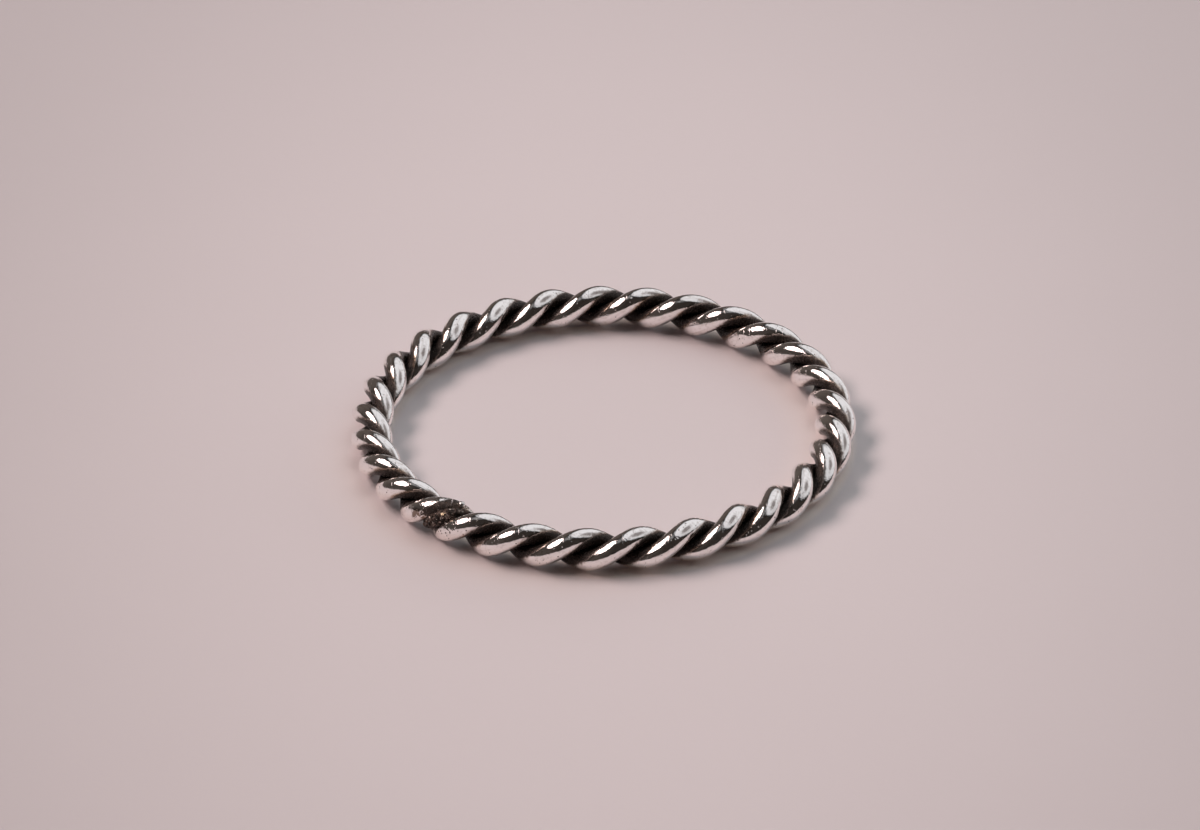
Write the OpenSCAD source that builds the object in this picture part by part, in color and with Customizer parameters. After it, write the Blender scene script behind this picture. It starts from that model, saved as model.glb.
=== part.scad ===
// Rope twist ring, lying flat: two round wires in a left-hand twist, closed by one soldered joint.
// Millimetres, +Z up, with the origin on the surface under the ring's centre.

/* [Ring] */
// Clear inside diameter, where the finger goes
finger_d = 18; // [14:0.5:24]
// Lobes round the ring, each where one wire crosses over the outside
lobes = 29; // [23:1:35]
// Where the first lobe's foot stands, as an angle round the ring
first_foot_angle = -144.2; // [-180:0.1:180]

/* [Wire] */
// Diameter of each round wire
wire_d = 0.9; // [0.7:0.05:1.1]
// Clearance between the two wires inside the rope
wire_gap = 0.02; // [0.01:0.01:0.06]
// Points round a wire's section
wire_sides = 12; // [8:2:12]
// Sections of wire on each lobe
lobe_steps = 7; // [5:1:7]
// Most that a lobe leads or lags in the hand-made twist, in degrees round the ring
swing_angle = 1.1; // [0:0.1:3]

/* [Solder joint] */
// Where the joint is, in lobes from the first foot
joint_lobe = 1.15; // [0:0.05:22]
// Length of the solder along the rope
solder_l = 2.1; // [1.5:0.1:3]
// Thickness of the solder where it is fullest
solder_d = 0.74; // [0.5:0.02:0.8]
// Diameter of the bead of solder on the top edge
bead_d = 0.32; // [0.2:0.02:0.5]
// How far past the joint's middle that bead sits, in lobes
bead_past = 0.23; // [0.1:0.01:0.4]

/* [Pressed flat] */
// Lobe whose inner side is pressed flat
flat_lobe = 15.5; // [1.5:1:22.5]
// How deep the flat goes into the wire
flat_depth = 0.08; // [0.02:0.01:0.15]

/* [Hidden] */

wire_r = wire_d / 2;
wire_offset = wire_r + wire_gap / 2;
rope_r = wire_r + wire_offset;
ring_r = finger_d / 2 + rope_r;
bead_lobe = joint_lobe + bead_past;

// With an odd number of lobes each wire ends where the other starts, so one loop goes round twice
rounds = lobes % 2 == 1 ? 2 : 1;
wire_loops = 2 / rounds;
loop_sections = rounds * lobes * lobe_steps;

// Slow waves of lead and lag: waves round the ring, share of swing_angle, place of the crest in degrees
WAVES = 0;
SHARE = 1;
CREST = 2;
twist_waves = [
    [1, 1.00, -120],
    [2, 0.55, -125],
    [3, 0.45, -90],
];

// The solder's shape, in the groove: place as a share of solder_l from its middle, thickness as a share
// of solder_d, and how far it sits away from the rope's middle, as a share of wire_d
ALONG = 0;
THICK = 1;
AWAY = 2;
solder_rows = [
    [-0.50, 0.32, 0.58],
    [-0.42, 0.44, 0.58],
    [-0.32, 0.60, 0.57],
    [-0.20, 0.80, 0.56],
    [-0.08, 0.95, 0.55],
    [0.04, 1.00, 0.55],
    [0.16, 0.94, 0.55],
    [0.28, 0.78, 0.56],
    [0.40, 0.56, 0.58],
    [0.50, 0.36, 0.60],
];
solder_fn = 16;
bead_fn = 12;
// How much of the bead stands above the wire that it sits on
bead_above = 0.7;
// Half the step over which a wire's direction is taken, in lobes
lobe_step = 0.01;

function total(v, i = 0) = i < len(v) ? v[i] + total(v, i + 1) : 0;
function unit(v) = v / norm(v);

// Angle round the ring of a place given in lobes from the first foot
function place(p) = first_foot_angle + 360 * p / lobes + swing_angle
    * total([for (w = twist_waves) w[SHARE] * cos(w[WAVES] * 360 * p / lobes - w[CREST])]);

// Direction from the rope's middle: 0 is outwards from the ring, 90 is up
function spoke(p, turn) = [cos(turn) * cos(place(p)), cos(turn) * sin(place(p)), sin(turn)];
function rope_middle(p) = ring_r * spoke(p, 0) + [0, 0, rope_r];

// A wire is at the rope's foot at a whole even number of lobes and at its top half a turn later
function wire_turn(p, start) = 180 * p - 90 + start;
// The groove on the outside lies midway between the wires, and is at the side at the second lobe's foot
function groove_turn(p) = 180 * (p - 1);
function wire_centre(p, start) = rope_middle(p) + wire_offset * spoke(p, wire_turn(p, start));
// Which wire is the upper one at a place, given as its start
function upper_wire(p) = sin(wire_turn(p, 0)) >= 0 ? 0 : 180;
function wire_heading(p, start) =
    unit(wire_centre(p + lobe_step, start) - wire_centre(p - lobe_step, start));

function wire_section(p, start) =
    let (
        crown = spoke(p, wire_turn(p, start)),
        side = cross(wire_heading(p, start), crown),
        centre = wire_centre(p, start)
    )
    [for (j = [0:wire_sides - 1])
        let (a = 360 * j / wire_sides)
        centre + wire_r * (cos(a) * crown + sin(a) * side)];

// Number of a point in a closed loop of wire, counted round again past either end
function point_no(i, j) = (i % loop_sections) * wire_sides + j % wire_sides;

module wire_loop(start) {
    points = [for (i = [0:loop_sections - 1]) each wire_section(i / lobe_steps, start)];
    faces = [for (i = [0:loop_sections - 1], j = [0:wire_sides - 1])
        each [
            [point_no(i, j), point_no(i + 1, j), point_no(i + 1, j + 1)],
            [point_no(i, j), point_no(i + 1, j + 1), point_no(i, j + 1)]
        ]];
    polyhedron(points = points, faces = faces, convexity = 10);
}

module twisted_wires() {
    color("silver")
    for (k = [0:wire_loops - 1]) wire_loop(180 * k);
}

// A place along the rope, in lobes, that lies a length away from the joint's middle
function joint_place(along) = joint_lobe + along * lobes / (2 * PI * ring_r);

module solder_ball(row) {
    p = joint_place(row[ALONG] * solder_l);
    translate(rope_middle(p) + row[AWAY] * wire_d * spoke(p, groove_turn(p)))
    rotate([0, 0, place(p)])
    sphere(d = row[THICK] * solder_d, $fn = solder_fn);
}

module solder_joint() {
    color("dimgray")
    for (i = [0:len(solder_rows) - 2])
        hull() {
            solder_ball(solder_rows[i]);
            solder_ball(solder_rows[i + 1]);
        }
}

module solder_bead() {
    seat = wire_centre(bead_lobe, upper_wire(bead_lobe)) + wire_r * spoke(bead_lobe, 90);
    color("dimgray")
    translate(seat + (bead_above - 0.5) * bead_d * spoke(bead_lobe, 90))
    sphere(d = bead_d, $fn = bead_fn);
}

// The tool that pressed the flat, as long and as high as one lobe
module pressed_flat() {
    depth = wire_r;
    rotate([0, 0, place(flat_lobe)])
    translate([finger_d / 2 + flat_depth - depth, -rope_r, 0])
    cube([depth, 2 * rope_r, 2 * rope_r]);
}

module rope_band() {
    difference() {
        union() {
            twisted_wires();
            solder_joint();
            solder_bead();
        }
        pressed_flat();
    }
}

rope_band();
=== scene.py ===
"""Rope twist ring, lying flat: two polished wires with oxidised grooves, and one soldered joint.

Sizes are in millimetres, as in the part's source, and each mesh is brought to metres at the end.
"""
import logging
import math
from collections.abc import Callable
from dataclasses import dataclass, field
from enum import Enum
from typing import Any

import bmesh
import bpy
from mathutils import Matrix, Vector, noise


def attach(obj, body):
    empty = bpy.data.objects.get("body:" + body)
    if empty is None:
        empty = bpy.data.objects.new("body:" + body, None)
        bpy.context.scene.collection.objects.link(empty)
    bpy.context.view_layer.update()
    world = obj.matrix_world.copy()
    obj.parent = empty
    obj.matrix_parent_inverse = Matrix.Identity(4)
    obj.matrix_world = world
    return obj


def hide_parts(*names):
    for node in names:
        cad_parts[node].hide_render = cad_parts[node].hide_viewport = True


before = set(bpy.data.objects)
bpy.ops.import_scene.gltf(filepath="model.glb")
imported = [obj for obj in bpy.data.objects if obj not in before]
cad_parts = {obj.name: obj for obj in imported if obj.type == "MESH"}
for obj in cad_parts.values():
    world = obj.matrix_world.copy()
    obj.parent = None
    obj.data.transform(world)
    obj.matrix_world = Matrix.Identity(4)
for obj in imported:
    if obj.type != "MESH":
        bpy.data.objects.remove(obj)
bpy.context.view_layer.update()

MM = 0.001
NODE = "rope_band"
WAY = "way"
NOISE_MIDDLE = 0.5
# The Mix node's colour sockets by number, because several of its sockets share a name
MIX_UNDER, MIX_OVER, MIX_RESULT = 6, 7, 2
log = logging.getLogger("rope twist ring")

Colour = tuple[float, float, float, float]
Pair = tuple[float, float]
Triple = tuple[float, float, float]


def placed(name: str, data: Any) -> bpy.types.Object:
    """Puts a new object into the scene.

    Args:
        name: its name.
        data: its mesh, light or camera.

    Returns:
        The object, at the origin.
    """
    made = bpy.data.objects.new(name, data)
    bpy.context.scene.collection.objects.link(made)
    return made


def baked(holder: bpy.types.Object, name: str) -> bpy.types.Mesh:
    """Makes a plain mesh of an object with its modifiers, and removes the object.

    Args:
        holder: the object.
        name: the mesh's name.

    Returns:
        The mesh.
    """
    bpy.context.view_layer.update()
    done = holder.evaluated_get(bpy.context.evaluated_depsgraph_get())
    mesh = bpy.data.meshes.new_from_object(done)
    holder.modifiers.clear()
    bpy.data.objects.remove(holder)
    mesh.name = name
    return mesh


def maths(operation: str, first: bool = True) -> Callable[..., "Term"]:
    """Makes a method that adds a Math node, with its own term before the others or after them."""
    return lambda term, *others: term.math(operation, *others, first=first)


class Term:
    """A node's output that Python arithmetic can be done on."""

    def __init__(self, graph: "Graph", socket: bpy.types.NodeSocket) -> None:
        """Keeps the socket and the graph that it is in."""
        self.graph = graph
        self.socket = socket

    def math(self, operation: str, *others: Any, first: bool = True) -> "Term":
        """Adds a Math node.

        Args:
            operation: what the node does.
            others: the other values or terms, in order.
            first: whether this term comes before the others.

        Returns:
            The node's result.
        """
        row = [self, *others] if first else [*others, self]
        node = self.graph.add("ShaderNodeMath", {"operation": operation}, dict(enumerate(row)))
        return Term(self.graph, node.outputs[0])

    __add__ = __radd__ = maths("ADD")
    __sub__ = maths("SUBTRACT")
    __rsub__ = maths("SUBTRACT", first=False)
    __mul__ = __rmul__ = maths("MULTIPLY")
    __truediv__ = maths("DIVIDE")
    __rtruediv__ = maths("DIVIDE", first=False)
    __abs__ = maths("ABSOLUTE")
    cos = maths("COSINE")
    sin = maths("SINE")
    at_least = maths("MAXIMUM")
    at_most = maths("MINIMUM")

    def __neg__(self) -> "Term":
        """The same with its sign changed."""
        return self * -1.0

    def hypot(self, other: "Term") -> "Term":
        """Length of the two as sides of a right angle."""
        return (self * self + other * other).math("SQRT")

    def rise(self, low: float, high: float) -> "Term":
        """A smooth step.

        Args:
            low: where it is 0.
            high: where it is 1; below low, the step falls instead.

        Returns:
            The step, from 0 to 1.
        """
        first, last = (0.0, 1.0) if low <= high else (1.0, 0.0)
        node = self.graph.add("ShaderNodeMapRange", {"interpolation_type": "SMOOTHSTEP"}, {
            "Value": self, "From Min": min(low, high), "From Max": max(low, high),
            "To Min": first, "To Max": last})
        return self.graph.term(node, "Result")


@dataclass(frozen=True)
class Grain:
    """One noise: waves in each millimetre, which one, finer layers, their strength, a mask's edge."""

    scale: float
    seed: float
    detail: float = 2.0
    rough: float = 0.5
    edge: Pair | None = None


class Graph:
    """A node tree, of a material or of Geometry Nodes, with one way to add a node."""

    def __init__(self, tree: bpy.types.NodeTree) -> None:
        """Empties the tree and keeps it."""
        self.tree = tree
        tree.nodes.clear()

    def link(self, source: Any, target: bpy.types.NodeSocket) -> None:
        """Joins a term, a socket or a node's first output to an input."""
        source = source.socket if isinstance(source, Term) else source
        self.tree.links.new(source.outputs[0] if isinstance(source, bpy.types.Node) else source, target)

    def add(self, kind: str, settings: dict[str, Any] | None = None,
            inputs: dict[Any, Any] | None = None) -> bpy.types.Node:
        """Adds a node.

        Args:
            kind: the node's type.
            settings: its own settings, which are set first.
            inputs: values or links of its sockets, by name or number.

        Returns:
            The node.
        """
        node = self.tree.nodes.new(kind)
        for name, value in (settings or {}).items():
            setattr(node, name, value)
        for key, value in (inputs or {}).items():
            if isinstance(value, (Term, bpy.types.NodeSocket, bpy.types.Node)):
                self.link(value, node.inputs[key])
            else:
                node.inputs[key].default_value = value
        return node

    def term(self, node: bpy.types.Node, output: Any = 0) -> Term:
        """Wraps one output of a node."""
        return Term(self, node.outputs[output])

    def split(self, vector: Any) -> tuple[Term, Term, Term]:
        """Splits a vector into its three terms."""
        node = self.add("ShaderNodeSeparateXYZ", None, {0: vector})
        return self.term(node, 0), self.term(node, 1), self.term(node, 2)

    def join(self, x: Any, y: Any, z: Any) -> Term:
        """Joins three values into a vector."""
        return self.term(self.add("ShaderNodeCombineXYZ", None, {0: x, 1: y, 2: z}))

    def vector(self, operation: str, *values: Any, scale: Any = None) -> Term:
        """Adds a Vector Math node that gives a vector, with a factor where it takes one."""
        inputs = dict(enumerate(values)) | ({} if scale is None else {"Scale": scale})
        return self.term(self.add("ShaderNodeVectorMath", {"operation": operation}, inputs))

    def blend(self, factor: Any, under: Any, over: Any) -> Term:
        """Lays one colour over another by a mask."""
        node = self.add("ShaderNodeMix", {"data_type": "RGBA"}, {
            0: factor, MIX_UNDER: under, MIX_OVER: over})
        return self.term(node, MIX_RESULT)

    def measure(self, operation: str, one: Any, two: Any) -> Term:
        """Adds a Vector Math node that gives one number."""
        node = self.add("ShaderNodeVectorMath", {"operation": operation}, {0: one, 1: two})
        return self.term(node, "Value")

    def noise(self, vector: Any, kind: Grain) -> Term:
        """Adds a noise with a fixed seed.

        Args:
            vector: the place in millimetres.
            kind: which noise.

        Returns:
            The noise, or its mask where it has an edge.
        """
        read = self.term(self.add("ShaderNodeTexNoise", {"noise_dimensions": "4D"}, {
            "Vector": vector, "W": kind.seed, "Scale": kind.scale, "Detail": kind.detail,
            "Roughness": kind.rough}))
        return read.rise(*kind.edge) if kind.edge else read


@dataclass(frozen=True)
class Wave:
    """One slow wave of lead and lag in the hand-made twist."""

    round_ring: int
    share: float
    crest: float


@dataclass(frozen=True)
class Rope:
    """Sizes of the twist, in millimetres, degrees and lobes."""

    finger_d: float = 18.0
    lobes: int = 29
    first_foot: float = -144.2
    wire_d: float = 0.9
    wire_gap: float = 0.02
    twist_swing: float = 1.1
    waves: tuple[Wave, ...] = (Wave(1, 1.00, -120.0), Wave(2, 0.55, -125.0), Wave(3, 0.45, -90.0))

    @property
    def wire_r(self) -> float:
        """Radius of a wire."""
        return self.wire_d / 2

    @property
    def rope_r(self) -> float:
        """Radius of the whole twist."""
        return self.wire_d + self.wire_gap / 2

    @property
    def wire_offset(self) -> float:
        """From the rope's middle to a wire's."""
        return self.wire_r + self.wire_gap / 2

    @property
    def ring_r(self) -> float:
        """From the ring's middle to the rope's."""
        return self.finger_d / 2 + self.rope_r

    def angle(self, place: float) -> float:
        """Angle round the ring, in degrees, of a place in lobes."""
        turn = 360 * place / self.lobes
        return self.first_foot + turn + self.twist_swing * sum(
            wave.share * math.cos(math.radians(wave.round_ring * turn - wave.crest)) for wave in self.waves)

    def spoke(self, place: float, turn: float) -> Vector:
        """Direction from the rope's middle at a place: 0 is outwards from the ring, 90 is up."""
        turn, side = math.radians(turn), math.radians(self.angle(place))
        return Vector((math.cos(turn) * math.cos(side), math.cos(turn) * math.sin(side), math.sin(turn)))

    def middle(self, place: float) -> Vector:
        """The rope's middle at a place."""
        return self.ring_r * self.spoke(place, 0) + Vector((0, 0, self.rope_r))

    def wire_centre(self, place: float, start: float = 0.0) -> Vector:
        """A wire's middle at a place."""
        return self.middle(place) + self.wire_offset * self.spoke(place, 180 * place - 90 + start)


@dataclass(frozen=True)
class PressedFlat:
    """The flat that a tool pressed into the inner side of one lobe."""

    lobe: float = 15.5
    depth: float = 0.08
    soft_end: float = 0.25
    near_side: Pair = (5.0, 6.0)


@dataclass(frozen=True)
class Hairlines:
    """Fine straight scratches: their direction in degrees, how far apart in millimetres, and which."""

    turn: Triple
    apart: float
    seed: float
    edge: Pair = (0.66, 0.76)
    shortness: float = 0.5


@dataclass(frozen=True)
class Pits:
    """Small round pits: how far apart in millimetres, how wide as a share of that, and which."""

    apart: float
    size: float
    seed: float
    bottom: float = 0.55


class Finish:
    """A material made of nodes, with the object's millimetres at hand."""

    name = "finish"

    def start(self) -> None:
        """Makes the material, its shader and the place in millimetres."""
        self.material = bpy.data.materials.new(self.name)
        self.material.use_nodes = True
        self.graph = Graph(self.material.node_tree)
        self.shader = self.graph.add("ShaderNodeBsdfPrincipled")
        self.graph.add("ShaderNodeOutputMaterial", None, {"Surface": self.shader})
        place = self.graph.add("ShaderNodeTexCoord")
        self.at = self.graph.vector("SCALE", place.outputs["Object"], scale=1 / MM)

    def set(self, **values: float | Colour) -> None:
        """Sets what is the same all over, with a low line for each space in a name."""
        for name, value in values.items():
            self.shader.inputs[name.replace("_", " ")].default_value = value

    def feed(self, name: str, value: Term) -> None:
        """Feeds one of the shader's sockets with what varies."""
        self.graph.link(value, self.shader.inputs[name])

    def ramp(self, factor: Term, *stops: tuple[float, Colour]) -> Term:
        """Gives a colour for each value of a mask.

        Args:
            factor: the mask.
            stops: places from 0 to 1, each with its colour.

        Returns:
            The colour.
        """
        node = self.graph.add("ShaderNodeValToRGB", None, {0: factor})
        marks = node.color_ramp.elements
        while len(marks) < len(stops):
            marks.new(1.0)
        for mark, (place, colour) in zip(marks, stops):
            mark.position = place
            mark.color = colour
        return self.graph.term(node)

    def bump(self, height: Term, distance: float, under: Term | None = None) -> Term:
        """The normal of a height, of which 1 is a distance in millimetres, over the normal under it."""
        inputs = {"Height": height, "Distance": distance * MM} | ({} if under is None else {"Normal": under})
        return self.graph.term(self.graph.add("ShaderNodeBump", None, inputs))

    def distance(self, spot: Vector) -> Term:
        """How far the surface is from a spot, in millimetres."""
        return self.graph.measure("DISTANCE", self.at, spot)

    def grain(self, kind: Grain) -> Term:
        """One noise on the surface, or its mask where it has an edge."""
        return self.graph.noise(self.at, kind)

    def hairlines(self, kind: Hairlines) -> Term:
        """Scratches the surface.

        Args:
            kind: which scratches.

        Returns:
            A mask that is 1 in a scratch.
        """
        turn = tuple(math.radians(angle) for angle in kind.turn)
        lying = self.graph.add("ShaderNodeMapping", None, {
            "Vector": self.at, "Rotation": turn, "Scale": (1 / kind.apart, kind.shortness, kind.shortness)})
        return self.graph.noise(lying, Grain(1.0, kind.seed, 1.0, edge=kind.edge))

    def pits(self, kind: Pits) -> Term:
        """A mask that is 1 in the pits."""
        cells = self.graph.add("ShaderNodeTexVoronoi", {"voronoi_dimensions": "4D"}, {
            "Vector": self.at, "W": kind.seed, "Scale": 1 / kind.apart, "Randomness": 1.0})
        return self.graph.term(cells, "Distance").rise(kind.size, kind.size * kind.bottom)


@dataclass(frozen=True)
class SilverColours:
    """Colours of polished silver and of the oxide in its grooves."""

    bright: Colour = (0.98, 0.945, 0.93, 1.0)
    dull: Colour = (0.60, 0.55, 0.52, 1.0)
    straw: Colour = (0.60, 0.49, 0.40, 1.0)
    smoke: Colour = (0.17, 0.135, 0.12, 1.0)
    brown: Colour = (0.18, 0.115, 0.08, 1.0)
    black: Colour = (0.032, 0.023, 0.019, 1.0)
    rust: Colour = (0.085, 0.048, 0.034, 1.0)
    tarnish: Colour = (0.50, 0.41, 0.37, 1.0)
    pit: Colour = (0.09, 0.05, 0.035, 1.0)


@dataclass(frozen=True)
class SilverGrains:
    """The noises, scratches and pits of polished silver."""

    drawn: Grain = Grain(1.0, 1.0, 3.0)
    drawn_stretch: Triple = (0.8, 8.0, 8.0)
    oxide_edge: Grain = Grain(2.2, 3.0, 4.0, 0.6)
    fine: Grain = Grain(8.0, 8.0, 4.0, 0.7)
    film: Grain = Grain(6.5, 15.0, 3.0, 0.7, (0.50, 0.70))
    brown_edge: Grain = Grain(0.8, 12.0, edge=(0.5, 0.62))
    haze: Grain = Grain(1.6, 6.0, 3.0)
    stains: Grain = Grain(3.2, 19.0, 3.0, 0.6, (0.53, 0.57))
    burnt_flecks: Grain = Grain(6.0, 18.0, 2.0, 0.6, (0.605, 0.655))
    waves: Grain = Grain(1.3, 7.0)
    rubbed: Grain = Grain(3.5, 13.0, 2.0, 0.6)
    grained: Grain = Grain(7.5, 14.0, 3.0, 0.65)
    melted: Grain = Grain(4.0, 17.0, 2.0, 0.6)
    pits: Pits = Pits(0.18, 0.22, 2.0)
    pits_where: Grain = Grain(1.1, 5.0, edge=(0.32, 0.46))
    pits_by_joint: Pits = Pits(0.15, 0.33, 5.0)
    dents: Pits = Pits(0.19, 0.34, 9.0)
    dents_where: Grain = Grain(1.7, 16.0, edge=(0.45, 0.6))
    scratches: Hairlines = Hairlines((20, 35, 50), 0.05, 4.0)
    crossing: Hairlines = Hairlines((70, 10, -40), 0.04, 9.0)


@dataclass(frozen=True)
class SilverWear:
    """How far oxide, wear and the joint's heat reach, in millimetres and degrees, and how strong they are.

    A pair is where a mask is 0 and where it is 1.
    """

    oxide: Pair = (0.14, 0.34)
    oxide_ragged: float = 0.08
    oxide_fine: float = 0.16
    oxide_half: float = 0.3
    oxide_dark: float = 0.6
    oxide_dull: Pair = (0.4, 1.0)
    oxide_metal: float = 0.6
    worn_deeper: float = 0.09
    worn_towards: float = -57.0
    worn_width: Pair = (0.86, 0.97)
    worn_opposite: float = 0.25
    burnt_start: Pair = (-0.74, -0.58)
    burnt_end: Pair = (1.05, 0.85)
    burnt_low: Pair = (-0.42, -0.32)
    burnt_high: Pair = (0.68, 0.60)
    burnt_ragged: float = 5.0
    burnt_flecks: float = 0.7
    burnt_cover: float = 0.92
    stain_along: float = -0.95
    stain_across: float = 0.5
    stain_reach: Pair = (0.5, 0.3)
    stain_cover: float = 0.9
    joint_reach: Pair = (1.8, 0.9)
    rust: Pair = (0.52, 0.70)
    rust_cover: float = 0.6
    film_cover: float = 0.42
    streaks: Pair = (0.5, 0.75)
    streak_cover: float = 0.3
    pit_cover: float = 0.85


@dataclass(frozen=True)
class SilverRoughness:
    """How matt polished silver is, and how much each thing on it adds."""

    polished: float = 0.03
    haze: float = 0.04
    scratches: float = 0.05
    film: float = 0.06
    oxide: float = 0.20
    pits: float = 0.25


@dataclass(frozen=True)
class SilverRelief:
    """Depths of the silver's low relief in millimetres, and shares of them."""

    waves: float = 0.012
    rubbed: float = 0.0055
    grained: float = 0.006
    drawn: float = 0.004
    drawn_share: float = 0.8
    scratch_share: float = 0.5
    pits: float = 0.012
    dent_share: float = 0.35
    melted: float = 0.035
    oxide: float = 0.06


@dataclass(frozen=True)
class JointFrame:
    """Where the joint is on the rope, with the directions along its groove and across it."""

    spot: Vector
    along: Vector
    across: Vector


class PolishedSilver(Finish):
    """Polished silver whose grooves are oxidised nearly black, burnt and more pitted round the joint."""

    name = "silver"
    colours = SilverColours()
    grains = SilverGrains()
    wear = SilverWear()
    matt = SilverRoughness()
    depths = SilverRelief()

    def __init__(self, rope: Rope, joint: JointFrame) -> None:
        """Makes the material.

        Args:
            rope: the rope's sizes.
            joint: where the joint is.
        """
        self.start()
        self.rope, self.joint = rope, joint
        graph, grains = self.graph, self.grains
        way = graph.add("ShaderNodeAttribute", {"attribute_name": WAY}).outputs["Vector"]
        stretched = graph.vector("MULTIPLY", way, grains.drawn_stretch)
        self.drawn = graph.noise(stretched, grains.drawn)
        self.fine = self.grain(grains.fine)
        self.film = self.grain(grains.film)
        self.lines = self.hairlines(grains.scratches).at_least(self.hairlines(grains.crossing))
        self.near = self.distance(joint.spot).rise(*self.wear.joint_reach)
        self.pitted = (self.pits(grains.pits) * self.grain(grains.pits_where)).at_least(
            self.pits(grains.pits_by_joint) * self.near)
        self.oxide = self.oxidised()
        self.dull = self.oxide.rise(*self.wear.oxide_dull)
        self.feed("Base Color", self.colour())
        self.feed("Roughness", self.roughness())
        self.feed("Metallic", 1.0 - self.dull * (1.0 - self.wear.oxide_metal))
        self.feed("Normal", self.relief())

    def oxidised(self) -> Term:
        """Covers the grooves with oxide, whose edge is ragged, and the burnt patch.

        Returns:
            A mask that is 1 in full oxide.
        """
        wear, edge = self.wear, self.grain(self.grains.oxide_edge)
        ragged = (edge - NOISE_MIDDLE) * wear.oxide_ragged + (self.fine - NOISE_MIDDLE) * wear.oxide_fine
        deep = self.depth() + ragged - self.worn() * wear.worn_deeper
        return deep.rise(*wear.oxide).at_least(self.burnt(ragged) * wear.burnt_cover)

    def colour(self) -> Term:
        """Colours the silver from bright to black, with rust, film, streaks, stains and pits on it.

        Returns:
            The colour.
        """
        graph, colours, wear, oxide = self.graph, self.colours, self.wear, self.oxide
        plain_edge, brown_edge = (
            self.ramp(oxide, (0.0, colours.bright), (wear.oxide_half, half), (wear.oxide_dark, dark),
                      (1.0, colours.black))
            for half, dark in ((colours.dull, colours.smoke), (colours.straw, colours.brown)))
        colour = graph.blend(self.grain(self.grains.brown_edge), plain_edge, brown_edge)
        colour = graph.blend(oxide * self.fine.rise(*wear.rust) * wear.rust_cover, colour, colours.rust)
        tarnish = graph.blend(oxide, colours.tarnish, colours.black)
        covered = self.film * wear.film_cover + self.drawn.rise(*wear.streaks) * wear.streak_cover
        colour = graph.blend(covered, colour, tarnish)
        colour = graph.blend(self.stains() * wear.stain_cover, colour, colours.brown)
        return graph.blend(self.pitted * wear.pit_cover, colour, colours.pit)

    def roughness(self) -> Term:
        """Makes the oxide and the pits more matt, and the film and the scratches a little.

        Returns:
            The roughness.
        """
        matt, haze = self.matt, self.grain(self.grains.haze)
        rough = (matt.polished + haze * matt.haze + self.lines * matt.scratches + self.film * matt.film
                 + self.dull * matt.oxide + self.pitted * matt.pits)
        return rough.at_most(1.0)

    def relief(self) -> Term:
        """Lays the low relief, from the longest waves to the grain of the oxide.

        Returns:
            The normal.
        """
        grains, depths = self.grains, self.depths
        dents = self.pits(grains.dents) * self.grain(grains.dents_where)
        normal = None
        for height, depth in (
                (self.grain(grains.waves), depths.waves),
                (self.grain(grains.rubbed), depths.rubbed),
                (self.grain(grains.grained), depths.grained),
                (self.drawn * depths.drawn_share - self.lines * depths.scratch_share, depths.drawn),
                (1.0 - self.pitted.at_least(dents * depths.dent_share), depths.pits),
                (self.near * self.grain(grains.melted), depths.melted),
                (self.fine * self.dull, depths.oxide)):
            normal = self.bump(height, depth, normal)
        return normal

    def burnt(self, ragged: Term) -> Term:
        """Finds where soldering burnt the silver dark: a patch along the joint's groove.

        Args:
            ragged: noise that makes the patch's edge uneven.

        Returns:
            A mask that is 1 in the patch.
        """
        graph, wear = self.graph, self.wear
        away = graph.vector("SUBTRACT", self.at, self.joint.spot)
        along = graph.measure("DOT_PRODUCT", away, self.joint.along) + ragged * wear.burnt_ragged
        across = graph.measure("DOT_PRODUCT", away, self.joint.across) + ragged
        flecks = self.grain(self.grains.burnt_flecks)
        return (along.rise(*wear.burnt_start) * along.rise(*wear.burnt_end) * across.rise(*wear.burnt_low)
                * across.rise(*wear.burnt_high) * (1.0 - flecks * wear.burnt_flecks))

    def stains(self) -> Term:
        """Finds the brown stains on the bright silver just beside the burnt patch.

        Returns:
            A mask that is 1 in a stain.
        """
        joint, wear = self.joint, self.wear
        beside = joint.spot + joint.along * wear.stain_along + joint.across * wear.stain_across
        return self.distance(beside).rise(*wear.stain_reach) * self.grain(self.grains.stains)

    def worn(self) -> Term:
        """Finds where the oxide is worn deeper into the grooves: at one side, and a little opposite.

        Returns:
            A mask that is 1 where it is worn most.
        """
        wear, side = self.wear, math.radians(self.wear.worn_towards)
        x, y, _ = self.graph.split(self.at)
        way = (x * math.cos(side) + y * math.sin(side)) / x.hypot(y)
        return way.rise(*wear.worn_width) + (-way).rise(*wear.worn_width) * wear.worn_opposite

    def depth(self) -> Term:
        """How far the surface lies below the rope's round outline, in millimetres."""
        x, y, z = self.graph.split(self.at)
        return self.rope.rope_r - (x.hypot(y) - self.rope.ring_r).hypot(z - self.rope.rope_r)


@dataclass(frozen=True)
class SolderColours:
    """Colours of the rough solder."""

    dark: Colour = (0.012, 0.008, 0.006, 1.0)
    brown: Colour = (0.10, 0.065, 0.052, 1.0)
    worn: Colour = (0.84, 0.74, 0.67, 1.0)
    gold: Colour = (0.88, 0.70, 0.50, 1.0)
    bead: Colour = (0.80, 0.77, 0.75, 1.0)


@dataclass(frozen=True)
class SolderGrains:
    """The noises of the rough solder."""

    fine: Grain = Grain(5.5, 2.0, 5.0, 0.75)
    broad: Grain = Grain(2.5, 4.0, 3.0)
    facets: Grain = Grain(4.5, 7.0)
    specks: Grain = Grain(6.5, 6.0, 3.0, 0.6, (0.605, 0.655))


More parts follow.
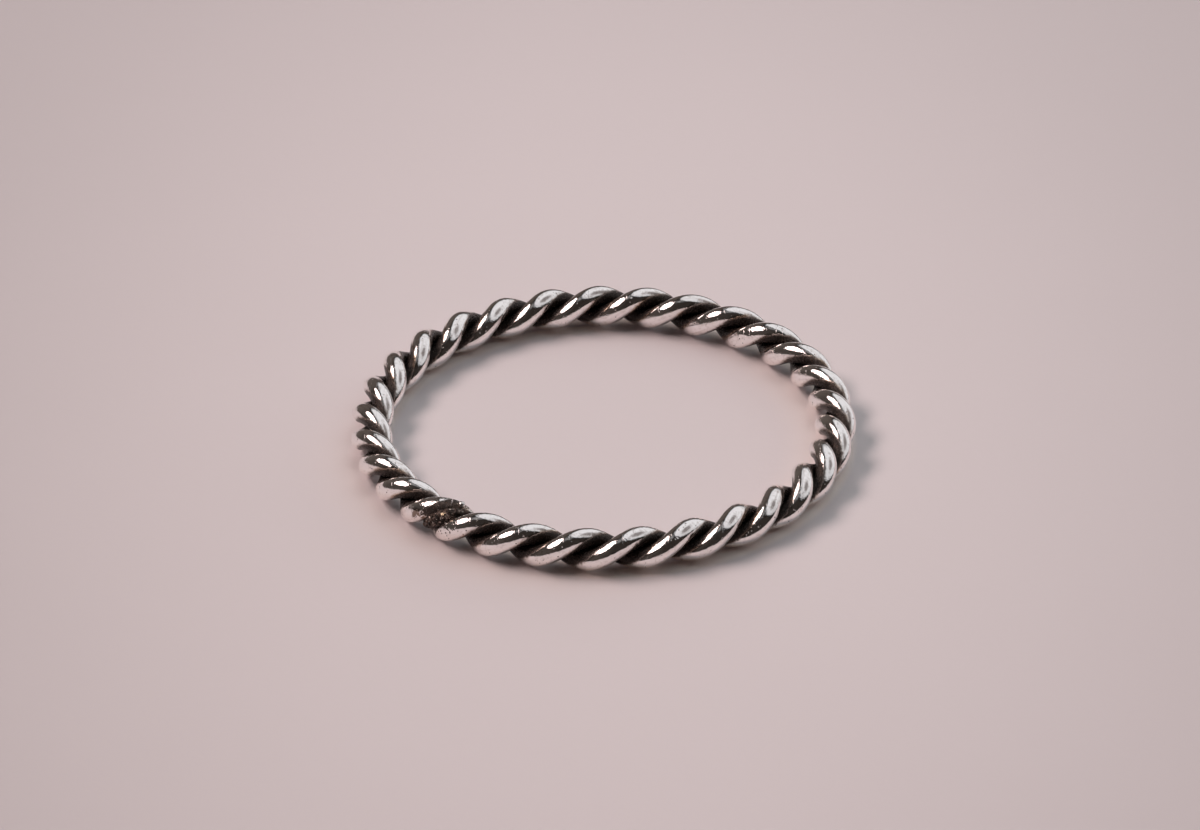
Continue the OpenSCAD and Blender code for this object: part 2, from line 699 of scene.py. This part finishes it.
@dataclass(frozen=True)
class SolderWear:
    """How far the golden spot, the calm round it and the bead reach, and how strong each thing is.

    A pair is where a mask is 0 and where it is 1, in millimetres or, for the bead, in its radius.
    """

    broad_share: float = 0.2
    crust: Triple = (0.46, 0.56, 0.66)
    speck_cover: float = 0.9
    speck_shine: float = 0.7
    spot: Pair = (0.12, 0.05)
    spot_ragged: float = 0.3
    bead: Pair = (1.2, 1.05)
    bead_ragged: float = 0.04
    calm: Pair = (0.45, 0.95)
    calm_specks: float = 0.7
    calm_crust: float = 0.10
    calm_matt: float = 0.12
    calm_lumps: float = 0.5
    matt: float = 0.24
    shine: float = 0.15
    metal: float = 0.7
    fine_share: float = 0.12
    lumps: float = 0.15
    swells: float = 0.08


class OxidisedSolder(Finish):
    """Rough solder, oxidised dark brown, with worn specks, one golden spot and a bright bead."""

    name = "solder"
    colours = SolderColours()
    grains = SolderGrains()
    wear = SolderWear()

    def __init__(self, golden: Vector, bead: Vector, bead_r: float) -> None:
        """Makes the material, with the golden spot and the bright bead at their places.

        Args:
            golden: where the golden spot is; away from it the solder is calmer and browner.
            bead: the bead's middle.
            bead_r: the bead's radius.
        """
        self.start()
        graph, colours, grains, wear = self.graph, self.colours, self.grains, self.wear
        fine, broad, facets = self.grain(grains.fine), self.grain(grains.broad), self.grain(grains.facets)
        uneven = fine - NOISE_MIDDLE
        calm = self.distance(golden).rise(*wear.calm)
        specks = self.grain(grains.specks) * (1.0 - calm * wear.calm_specks)
        spot = (self.distance(golden) + uneven * wear.spot_ragged).rise(*wear.spot)
        bright = (self.distance(bead) + uneven * wear.bead_ragged).rise(
            *(bead_r * edge for edge in wear.bead))
        dark, brown, worn = wear.crust
        crust = fine * (1.0 - wear.broad_share) + broad * wear.broad_share
        colour = self.ramp(crust.at_most(worn - calm * wear.calm_crust), (dark, colours.dark),
                           (brown, colours.brown), (worn, colours.worn))
        colour = graph.blend(specks * wear.speck_cover, colour, colours.worn)
        colour = graph.blend(spot, colour, colours.gold)
        self.feed("Base Color", graph.blend(bright, colour, colours.bead))
        shiny = spot.at_least(bright).at_least(specks * wear.speck_shine)
        self.feed("Roughness", wear.matt - shiny * wear.shine + calm * wear.calm_matt)
        self.feed("Metallic", wear.metal + shiny * (1.0 - wear.metal))
        lumps = facets * (1.0 - wear.fine_share) + fine * wear.fine_share
        lumps = self.bump(lumps * (1.0 - bright) * (1.0 - calm * wear.calm_lumps), wear.lumps)
        self.feed("Normal", self.bump(broad * (1.0 - bright), wear.swells, lumps))


class GeometryTree:
    """A Geometry Nodes tree with named inputs, which is applied to one object."""

    def __init__(self, name: str, sizes: dict[str, float | int]) -> None:
        """Makes the tree and an input for each size.

        Args:
            name: the tree's name.
            sizes: each input's name and value; a whole number makes a whole-number input.
        """
        self.tree = bpy.data.node_groups.new(name, "GeometryNodeTree")
        self.sizes = sizes
        face = self.tree.interface
        for label, value in sizes.items():
            kind = "NodeSocketInt" if isinstance(value, int) else "NodeSocketFloat"
            face.new_socket(label, in_out="INPUT", socket_type=kind)
        face.new_socket("Material", in_out="INPUT", socket_type="NodeSocketMaterial")
        face.new_socket("Geometry", in_out="OUTPUT", socket_type="NodeSocketGeometry")
        self.graph = Graph(self.tree)
        self.source = self.graph.add("NodeGroupInput")

    def size(self, label: str) -> Term:
        """One of the named inputs, as a term."""
        return Term(self.graph, self.source.outputs[label])

    def close(self, geometry: Any, smooth: Term) -> None:
        """Ends the tree in metres, in Realize Instances and Set Material.

        Args:
            geometry: what has been made, in millimetres.
            smooth: which faces are shaded smooth.
        """
        graph = self.graph
        metres = graph.add("GeometryNodeTransform", None, {"Geometry": geometry, "Scale": (MM,) * 3})
        shade = graph.add("GeometryNodeSetShadeSmooth", None, {0: metres, "Shade Smooth": smooth})
        single = graph.add("GeometryNodeRealizeInstances", None, {0: shade})
        dressed = graph.add("GeometryNodeSetMaterial", None, {
            "Geometry": single, "Material": self.source.outputs["Material"]})
        graph.add("NodeGroupOutput", None, {"Geometry": dressed})

    def piece(self, name: str, material: bpy.types.Material | None) -> bpy.types.Object:
        """Runs the tree and keeps the result as a plain mesh.

        Args:
            name: the piece's name.
            material: what it is dressed in.

        Returns:
            The piece's object, with no modifier on it.
        """
        holder = placed(name + "_holder", bpy.data.meshes.new(name + "_holder"))
        modifier = holder.modifiers.new("Rule", "NODES")
        modifier.node_group = self.tree
        values = {**self.sizes, "Material": material}
        for item in self.tree.interface.items_tree:
            if item.in_out == "INPUT":
                modifier[item.identifier] = values[item.name]
        return placed(name, baked(holder, name))


@dataclass
class TwistedWire:
    """One wire of the twist, from one end at the joint round to its other end there."""

    rope: Rope
    flat: PressedFlat
    name: str
    start: float
    end: float
    sections: int = 1450
    sides: int = 56
    wire_r: float = 0.457
    offset: float = 0.447
    unevenness: float = 0.010
    swell: Grain = Grain(0.9, 11.0)
    swell_inwards: float = 0.6

    def tree(self) -> GeometryTree:
        """Builds the tree: a line laid along the twist, with a round wire on it, uneven by hand.

        Returns:
            The tree with its sizes.
        """
        rope = self.rope
        sizes: dict[str, float | int] = {
            "Sections": self.sections, "Sides": self.sides, "Start": float(self.start),
            "End": float(self.end), "Wire radius": self.wire_r, "Wire offset": self.offset,
            "Rope radius": rope.rope_r, "Ring radius": rope.ring_r, "Lobes": float(rope.lobes),
            "First foot": math.radians(rope.first_foot), "Swing": math.radians(rope.twist_swing),
            "Unevenness": self.unevenness,
            "Flat angle": math.radians(rope.angle(self.flat.lobe)),
            "Flat reach": rope.finger_d / 2 + self.flat.depth, "Flat length": 2 * rope.rope_r,
        }
        tree = GeometryTree(self.name + "_rule", sizes)
        graph, size = tree.graph, tree.size
        line = graph.add("GeometryNodeMeshLine", {"mode": "OFFSET"}, {
            "Count": size("Sections"), "Offset": (0.0, 0.0, 0.01)})
        step = graph.term(graph.add("GeometryNodeInputIndex")) / (size("Sections") - 1)
        place = size("Start") + (size("End") - size("Start")) * step
        turn = place * math.tau / size("Lobes")
        angle = size("First foot") + turn
        for wave in rope.waves:
            angle = angle + size("Swing") * wave.share * (
                turn * wave.round_ring - math.radians(wave.crest)).cos()
        twist = place * math.pi - math.pi / 2
        out = size("Ring radius") + size("Wire offset") * twist.cos()
        spot = graph.join(out * angle.cos(), out * angle.sin(),
                          size("Rope radius") + size("Wire offset") * twist.sin())
        laid = graph.add("GeometryNodeSetPosition", None, {"Geometry": line, "Position": spot})
        path = graph.add("GeometryNodeMeshToCurve", None, {"Mesh": laid})
        section = graph.add("GeometryNodeCurvePrimitiveCircle", None, {
            "Resolution": size("Sides"), "Radius": size("Wire radius")})
        wire = graph.add("GeometryNodeCurveToMesh", None, {
            "Curve": path, "Profile Curve": section, "Fill Caps": True})
        index = graph.term(graph.add("GeometryNodeInputIndex"))
        skin = index.math("LESS_THAN", (size("Sections") - 1) * size("Sides"))
        tree.close(self.pressed(tree, self.uneven(tree, self.marked(tree, wire))), skin)
        return tree

    def marked(self, tree: GeometryTree, wire: Any) -> bpy.types.Node:
        """Keeps each point's place along and round the wire, for what runs along the metal.

        Args:
            tree: the wire's tree.
            wire: the geometry so far.

        Returns:
            The node that keeps it.
        """
        graph, size = tree.graph, tree.size
        index = graph.term(graph.add("GeometryNodeInputIndex"))
        section = (index / size("Sides")).math("FLOOR")
        turn = (index - section * size("Sides")) * math.tau / size("Sides")
        place = size("Start") + (size("End") - size("Start")) * section / (size("Sections") - 1)
        along = place * (math.tau * size("Ring radius") / size("Lobes"))
        way = graph.join(along, size("Wire radius") * turn.cos(), size("Wire radius") * turn.sin())
        return graph.add("GeometryNodeStoreNamedAttribute", {"data_type": "FLOAT_VECTOR"}, {
            "Geometry": wire, "Name": WAY, "Value": way})

    def uneven(self, tree: GeometryTree, wire: Any) -> bpy.types.Node:
        """Draws the surface in and out a little, as hand-drawn and hand-twisted wire is.

        Args:
            tree: the wire's tree.
            wire: the geometry so far.

        Returns:
            The node that moves it.
        """
        graph = tree.graph
        here = graph.add("GeometryNodeInputPosition")
        facing = graph.add("GeometryNodeInputNormal")
        swell = (graph.noise(here, self.swell) - NOISE_MIDDLE) * 2 - self.swell_inwards
        shift = graph.vector("SCALE", facing, scale=swell * tree.size("Unevenness"))
        return graph.add("GeometryNodeSetPosition", None, {"Geometry": wire, "Offset": shift})

    def pressed(self, tree: GeometryTree, wire: Any) -> bpy.types.Node:
        """Presses the flat into the inner side of its lobe.

        Args:
            tree: the wire's tree.
            wire: the geometry so far.

        Returns:
            The node that moves it.
        """
        graph, size = tree.graph, tree.size
        x, y, _ = graph.split(graph.add("GeometryNodeInputPosition"))
        cos, sin = size("Flat angle").cos(), size("Flat angle").sin()
        reach = x * cos + y * sin
        aside = abs(y * cos - x * sin)
        half = size("Flat length") / 2
        inside = (half - aside).rise(0.0, self.flat.soft_end) * reach.rise(*self.flat.near_side)
        push = (size("Flat reach") - reach).at_least(0.0) * inside
        return graph.add("GeometryNodeSetPosition", None, {
            "Geometry": wire, "Offset": graph.join(push * cos, push * sin, 0.0)})

    def build(self, finish: Finish) -> bpy.types.Object:
        """Makes the wire and dresses it."""
        return self.tree().piece(self.name, finish.material)


@dataclass(frozen=True)
class SolderRow:
    """One ball of the solder that fills the groove: its place, thickness and distance out."""

    along: float
    thick: float
    away: float


@dataclass
class SolderJoint:
    """The solder in the groove at the joint, with the bead on its top edge."""

    rope: Rope
    name: str = "solder_joint"
    lobe: float = 1.15
    length: float = 2.1
    thickness: float = 0.74
    bead_d: float = 0.32
    bead_past: float = 0.23
    bead_above: float = 0.7
    golden_place: float = 1.28
    golden_away: float = 0.86
    frame_place: float = 1.2
    frame_away: float = 0.84
    voxel: float = 0.016
    melting: float = 0.5
    melting_rounds: int = 6
    balls_between: int = 4
    ball_detail: int = 3
    roughness: float = 0.05
    lumps_per_mm: float = 5.0
    lump_layers: int = 4
    lump_finer: float = 2.0
    lump_fading: float = 0.6
    lump_middle: float = 0.35
    bead_smooth: float = 0.125
    rows: tuple[SolderRow, ...] = (
        SolderRow(-0.50, 0.32, 0.58), SolderRow(-0.42, 0.44, 0.58), SolderRow(-0.32, 0.60, 0.57),
        SolderRow(-0.20, 0.80, 0.56), SolderRow(-0.08, 0.95, 0.55), SolderRow(0.04, 1.00, 0.55),
        SolderRow(0.16, 0.94, 0.55), SolderRow(0.28, 0.78, 0.56), SolderRow(0.40, 0.56, 0.58),
        SolderRow(0.50, 0.36, 0.60),
    )

    @property
    def golden(self) -> Vector:
        """Where the golden spot is."""
        return self.groove(self.golden_place, self.golden_away)

    @property
    def frame(self) -> JointFrame:
        """Finds where the joint is.

        Returns:
            Its spot, with the directions along its groove and across it.
        """
        place, away, step = self.frame_place, self.frame_away, 0.02
        along = (self.groove(place + step, away) - self.groove(place - step, away)).normalized()
        outwards = self.rope.spoke(place, 180 * (place - 1))
        return JointFrame(self.groove(place, away), along, outwards.cross(along))

    @property
    def bead(self) -> Vector:
        """Seats the bead on the upper wire.

        Returns:
            The bead's middle.
        """
        at = self.lobe + self.bead_past
        seat = self.rope.wire_centre(at, 180.0 if math.sin(math.radians(180 * at - 90)) < 0 else 0.0)
        above = self.rope.wire_r + (self.bead_above - 0.5) * self.bead_d
        return seat + self.rope.spoke(at, 90) * above

    def groove(self, place: float, away: float) -> Vector:
        """A spot over the groove beside the joint, away from the rope's middle."""
        return self.rope.middle(place) + away * self.rope.spoke(place, 180 * (place - 1))

    def place(self, along: float) -> float:
        """A place in lobes that lies a length away from the joint's middle."""
        return self.lobe + along * self.rope.lobes / (math.tau * self.rope.ring_r)

    def ball(self, mesh: bmesh.types.BMesh, centre: Vector, diameter: float) -> None:
        """Adds one ball."""
        bmesh.ops.create_icosphere(mesh, subdivisions=self.ball_detail, radius=diameter / 2,
                                   matrix=Matrix.Translation(centre))

    def rough_form(self) -> bpy.types.Object:
        """Puts the balls of the groove and the bead together.

        Returns:
            The object, in millimetres.
        """
        mesh = bmesh.new()
        for one, two in zip(self.rows, self.rows[1:]):
            for step in range(self.balls_between + 1):
                share = step / self.balls_between
                along, thick, away = (a + (b - a) * share for a, b in (
                    (one.along, two.along), (one.thick, two.thick), (one.away, two.away)))
                centre = self.groove(self.place(along * self.length), away * self.rope.wire_d)
                self.ball(mesh, centre, thick * self.thickness)
        self.ball(mesh, self.bead, self.bead_d)
        bmesh.ops.recalc_face_normals(mesh, faces=mesh.faces)
        data = bpy.data.meshes.new(self.name + "_rough")
        mesh.to_mesh(data)
        mesh.free()
        return placed(self.name + "_rough", data)

    def roughen(self, mesh: bpy.types.Mesh) -> None:
        """Raises small lumps on the solder, all but the bead, which melted smooth.

        Args:
            mesh: the solder, in millimetres.
        """
        raised = []
        for vertex in mesh.vertices:
            away = (vertex.co - self.bead).length - self.bead_d / 2
            share = min(max(away / self.bead_smooth, 0), 1)
            height = noise.fractal(vertex.co * self.lumps_per_mm, self.lump_fading, self.lump_finer,
                                   self.lump_layers) - self.lump_middle
            raised.append(vertex.co + vertex.normal * height * self.roughness * share)
        for vertex, place in zip(mesh.vertices, raised):
            vertex.co = place

    def build(self, finish: Finish) -> bpy.types.Object:
        """Makes one skin of the rough form, melts it smooth and roughens it.

        Args:
            finish: what it is dressed in.

        Returns:
            The piece's object.
        """
        rough = self.rough_form()
        one = rough.modifiers.new("One skin", "REMESH")
        one.mode = "VOXEL"
        one.voxel_size = self.voxel
        melt = rough.modifiers.new("Melted", "SMOOTH")
        melt.factor = self.melting
        melt.iterations = self.melting_rounds
        mesh = baked(rough, self.name)
        self.roughen(mesh)
        mesh.transform(Matrix.Scale(MM, 4))
        mesh.materials.clear()
        mesh.materials.append(finish.material)
        mesh.shade_smooth()
        return placed(self.name, mesh)


class Slot(Enum):
    """The record's material slots."""

    SILVER = "silver"
    SOLDER = "solder"


def fit(piece: bpy.types.Object, slot: Slot) -> None:
    """Puts a finished piece on the ring in place of the solid, and reports it.

    Args:
        piece: the piece.
        slot: the record's slot that its finish is from.
    """
    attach(piece, "root")
    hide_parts(NODE)
    triangles = sum(len(face.vertices) - 2 for face in piece.data.polygons)
    low, high = ([round(end(v.co[i] for v in piece.data.vertices) / MM, 3) for i in range(3)]
                 for end in (min, max))
    log.info("%s: %d triangles, %s, from %s to %s mm", piece.name, triangles, slot.value, low, high)


@dataclass
class Ring:
    """The whole ring."""

    rope: Rope = field(default_factory=Rope)
    flat: PressedFlat = field(default_factory=PressedFlat)

    def build(self) -> None:
        """Makes both wires and their solder."""
        solder = SolderJoint(self.rope)
        silver = PolishedSilver(self.rope, solder.frame)
        lap = self.rope.lobes
        for name, start in (("first_wire", solder.lobe), ("second_wire", solder.lobe + lap)):
            wire = TwistedWire(self.rope, self.flat, name, start, start + lap)
            fit(wire.build(silver), Slot.SILVER)
        dark = OxidisedSolder(solder.golden, solder.bead, solder.bead_d / 2)
        fit(solder.build(dark), Slot.SOLDER)


class Meets(Enum):
    """What a lamp's light is for: the floor and what isn't shiny, or the mirror of the silver."""

    FLOOR = "floor"
    SILVER = "silver"


@dataclass(frozen=True)
class Lamp:
    """One area light, in millimetres and watts, with the direction that it stands in."""

    name: str
    comes_from: Triple
    distance: float
    width: float
    height: float
    power: float
    colour: Triple
    meets: Meets


HARD_LIGHT = (1.0, 0.84, 0.81)
SOFT_LIGHT = (0.90, 0.965, 1.0)


@dataclass
class Studio:
    """The floor, the lights and the camera."""

    disc_sides: int = 96
    floor_r: float = 1600.0
    floor_colour: Colour = (0.733, 0.656, 0.660, 1.0)
    lamps: tuple[Lamp, ...] = (
        Lamp("key", (-0.642, 0.113, 0.760), 1500.0, 1200.0, 540.0, 15.7, HARD_LIGHT, Meets.FLOOR),
        Lamp("key_mirrored", (-0.602, 0.010, 0.799), 1500.0, 1400.0, 800.0, 14.2, HARD_LIGHT, Meets.SILVER),
        Lamp("soft", (0.47, 0.54, 0.70), 350.0, 690.0, 690.0, 1.10, SOFT_LIGHT, Meets.FLOOR),
    )
    cloth_colour: Colour = (0.98, 0.975, 1.0, 1.0)
    cloth_from: Triple = (0.61, 0.36, 0.705)
    cloth_distance: float = 350.0
    cloth_glow: float = 0.775
    cloth_r: float = 430.0
    cloth_edge: Pair = (402.0, 318.0)
    cloth_fade: Pair = (-300.0, 100.0)
    cloth_faded: float = 0.8
    hole_at: Pair = (-98.0, 32.0)
    hole_edge: Pair = (150.0, 55.0)
    hole_dim: float = 0.66
    hole_colour: Colour = (1.0, 0.92, 0.91, 1.0)
    room_colour: Colour = (1.0, 0.82, 0.73, 1.0)
    top_colour: Colour = (1.0, 0.97, 0.97, 1.0)
    room_low: float = 0.029
    room_left: float = 0.031
    room_left_edge: Pair = (-0.1, 0.8)
    room_back: float = 0.058
    room_back_edge: Pair = (0.2, 1.0)
    room_top: float = 0.25
    room_top_edge: Pair = (0.92, 1.0)
    room_pale_edge: Pair = (0.85, 0.97)
    elevation: float = 31.58
    roll: float = -0.702
    distance: float = 294.2
    lens: float = 206.2
    sensor: float = 36.0
    clip: Pair = (0.01, 20.0)
    aim_px: Pair = (3.12, -27.243)
    focal_px: float = 6872.0

    def aimed(self, data: Any, name: str, direction: Triple, distance: float) -> bpy.types.Object:
        """Places a light or a screen so that it faces the ring.

        Args:
            data: the light or the mesh.
            name: its name.
            direction: the direction that it stands in.
            distance: how far away it is, in millimetres.

        Returns:
            Its object.
        """
        made = placed(name, data)
        away = Vector(direction).normalized()
        made.location = away * distance * MM
        made.rotation_euler = away.to_track_quat("Z", "Y").to_euler()
        return made

    def disc(self, name: str, radius: float, finish: bpy.types.Material) -> bpy.types.Mesh:
        """Makes a flat disc.

        Args:
            name: its name.
            radius: its radius in millimetres.
            finish: what it is dressed in.

        Returns:
            The mesh.
        """
        mesh = bmesh.new()
        bmesh.ops.create_circle(mesh, cap_ends=True, segments=self.disc_sides, radius=radius * MM)
        data = bpy.data.meshes.new(name)
        mesh.to_mesh(data)
        mesh.free()
        data.materials.append(finish)
        return data

    def cloth(self) -> bpy.types.Material:
        """Makes the soft light's cloth as the silver mirrors it.

        Returns:
            A glowing material that fades at the edge and is dimmer in the middle.
        """
        material = bpy.data.materials.new("soft_cloth")
        material.use_nodes = True
        graph = Graph(material.node_tree)
        x, y, _ = graph.split(graph.vector(
            "SCALE", graph.add("ShaderNodeTexCoord").outputs["Object"], scale=1 / MM))
        fade = x.rise(*self.cloth_fade) * (1.0 - self.cloth_faded) + self.cloth_faded
        whole = x.hypot(y).rise(*self.cloth_edge) * fade
        hole = (x - self.hole_at[0]).hypot(y - self.hole_at[1]).rise(*self.hole_edge)
        light = graph.add("ShaderNodeEmission", None, {
            "Color": graph.blend(hole, self.cloth_colour, self.hole_colour),
            "Strength": whole * (1.0 - hole * self.hole_dim) * self.cloth_glow})
        graph.add("ShaderNodeOutputMaterial", None, {"Surface": light})
        return material

    def floor(self) -> None:
        """The pale floor."""
        finish = FloorFinish(self.floor_colour)
        placed("floor", self.disc("floor", self.floor_r, finish.material))

    def lights(self) -> None:
        """The hard light from the left, and the soft one from the right with its darker middle."""
        for lamp in self.lamps:
            light = bpy.data.lights.new(lamp.name, "AREA")
            light.shape = "ELLIPSE"
            light.size = lamp.width * MM
            light.size_y = lamp.height * MM
            light.energy = lamp.power
            light.color = lamp.colour
            made = self.aimed(light, lamp.name, lamp.comes_from, lamp.distance)
            made.visible_glossy = lamp.meets is Meets.SILVER
            made.visible_diffuse = lamp.meets is Meets.FLOOR
        cloth = self.aimed(self.disc("soft_cloth", self.cloth_r, self.cloth()), "soft_cloth",
                           self.cloth_from, self.cloth_distance)
        cloth.visible_camera = False
        cloth.visible_shadow = False
        cloth.visible_diffuse = False
        self.room()

    def room(self) -> None:
        """The dim room round it all: darkest on the camera's side, palest overhead."""
        world = bpy.data.worlds.new("room")
        world.use_nodes = True
        graph = Graph(world.node_tree)
        x, y, z = graph.split(graph.add("ShaderNodeTexCoord").outputs["Generated"])
        light = (self.room_low + (-x).rise(*self.room_left_edge) * self.room_left
                 + y.rise(*self.room_back_edge) * self.room_back
                 + z.rise(*self.room_top_edge) * self.room_top)
        colour = graph.blend(z.rise(*self.room_pale_edge), self.room_colour, self.top_colour)
        room = graph.add("ShaderNodeBackground", None, {"Color": colour, "Strength": light})
        graph.add("ShaderNodeOutputWorld", None, {"Surface": room})
        bpy.context.scene.world = world

    def camera(self) -> None:
        """The camera at the photograph's angle."""
        up_angle, roll = math.radians(self.elevation), math.radians(self.roll)
        back = Vector((0, -math.cos(up_angle), math.sin(up_angle)))
        right = Vector((1, 0, 0))
        up = back.cross(right)
        rolled = math.cos(roll) * right + math.sin(roll) * up
        top = math.cos(roll) * up - math.sin(roll) * right
        scale = self.distance / self.focal_px
        place = back * self.distance - rolled * self.aim_px[0] * scale - top * self.aim_px[1] * scale
        data = bpy.data.cameras.new("camera")
        data.lens = self.lens
        data.sensor_fit = "HORIZONTAL"
        data.sensor_width = self.sensor
        data.clip_start, data.clip_end = self.clip
        made = placed("camera", data)
        turn = Matrix((rolled, top, back)).transposed().to_4x4()
        made.matrix_world = Matrix.Translation(place * MM) @ turn
        bpy.context.scene.camera = made

    def build(self) -> None:
        """Sets the floor, the lights and the camera."""
        self.floor()
        self.lights()
        self.camera()
        bpy.context.scene.view_settings.view_transform = "Standard"


@dataclass(frozen=True)
class ThrownLight:
    """A round band of the floor, in millimetres, where light that the silver throws from one side is painted
    on.
    """

    inner: float
    fade_in: float
    outer: float
    fade_out: float
    side: Pair
    side_edge: Pair
    strength: float


class FloorFinish(Finish):
    """Smooth pale pinkish board, with painted light near the ring and painted shade farther out."""

    name = "floor"
    cloud = Grain(0.12, 1.0, 3.0)
    pores = Grain(3.0, 2.0, 4.0)
    pore_depth: float = 0.01
    # the colour that the painted light brings the board to
    lit: Colour = (0.98, 0.86, 0.80, 1.0)
    squeeze: float = 0.52
    # where the painted shade begins and is full, near and far, in millimetres
    shade_near: Pair = (8.0, 40.0)
    shade_far: Pair = (35.0, 140.0)
    near_share: float = 0.5
    far_share: float = 0.7
    cloud_share: float = 0.04
    shade_dark: float = 0.55
    matt: float = 0.6
    shine: float = 0.3
    # bands of painted light, where the silver throws the hard light back on the board
    thrown: tuple[ThrownLight, ...] = (
        ThrownLight(10.3, 0.7, 13.4, 2.6, (-1.0, -1.0), (0.4, 1.4), 0.22),
        ThrownLight(7.4, 1.6, 9.9, 0.7, (1.0, 0.0), (0.55, 1.0), 0.31),
        ThrownLight(8.9, 0.5, 9.9, 0.3, (-1.0, 0.0), (-0.15, 0.1), 0.9),
        ThrownLight(9.8, 0.3, 10.95, 0.4, (1.0, 0.0), (-0.35, 0.05), 0.9),
    )

    def __init__(self, colour: Colour) -> None:
        """Makes the material, with painted light where the silver throws the hard light on it, and painted
        shade farther out.

        Args:
            colour: the board's colour.
        """
        self.start()
        graph, cloud = self.graph, self.grain(self.cloud) - NOISE_MIDDLE
        x, y, _ = graph.split(self.at)
        out = x.hypot(y * self.squeeze)
        # painted shade: the board gets darker farther from the ring, in an oval that reaches farther front
        # and back
        shade = (out.rise(*self.shade_near) * self.near_share
                 + out.rise(*self.shade_far) * self.far_share + cloud * self.cloud_share)
        darker = tuple(c * self.shade_dark for c in colour[:3]) + (1.0,)
        # painted light: the board is paler where the silver throws the hard light back on it
        self.feed("Base Color", graph.blend(self.glow(x, y), graph.blend(shade, colour, darker), self.lit))
        self.set(Roughness=self.matt, Specular_IOR_Level=self.shine)
        self.feed("Normal", self.bump(self.grain(self.pores), self.pore_depth))

    def glow(self, x: Term, y: Term) -> Term:
        """Paints light on the floor where the silver throws it back.

        Args:
            x: place to the right, in millimetres.
            y: place to the back, in millimetres.

        Returns:
            A mask of painted light, higher where more light reaches.
        """
        away = x.hypot(y)
        glow: Any = 0.0
        for band in self.thrown:
            side = (x * band.side[0] + y * band.side[1]) / away
            light = ((away - band.inner).rise(0.0, band.fade_in)
                     * (band.outer - away).rise(0.0, band.fade_out) * side.rise(*band.side_edge))
            glow = (light * band.strength).at_least(glow)
        return glow


def main() -> None:
    """Builds the ring and its surroundings."""
    logging.basicConfig(level=logging.INFO, format="%(name)s: %(message)s")
    Studio().build()
    Ring().build()


if __name__ == "__main__":
    main()
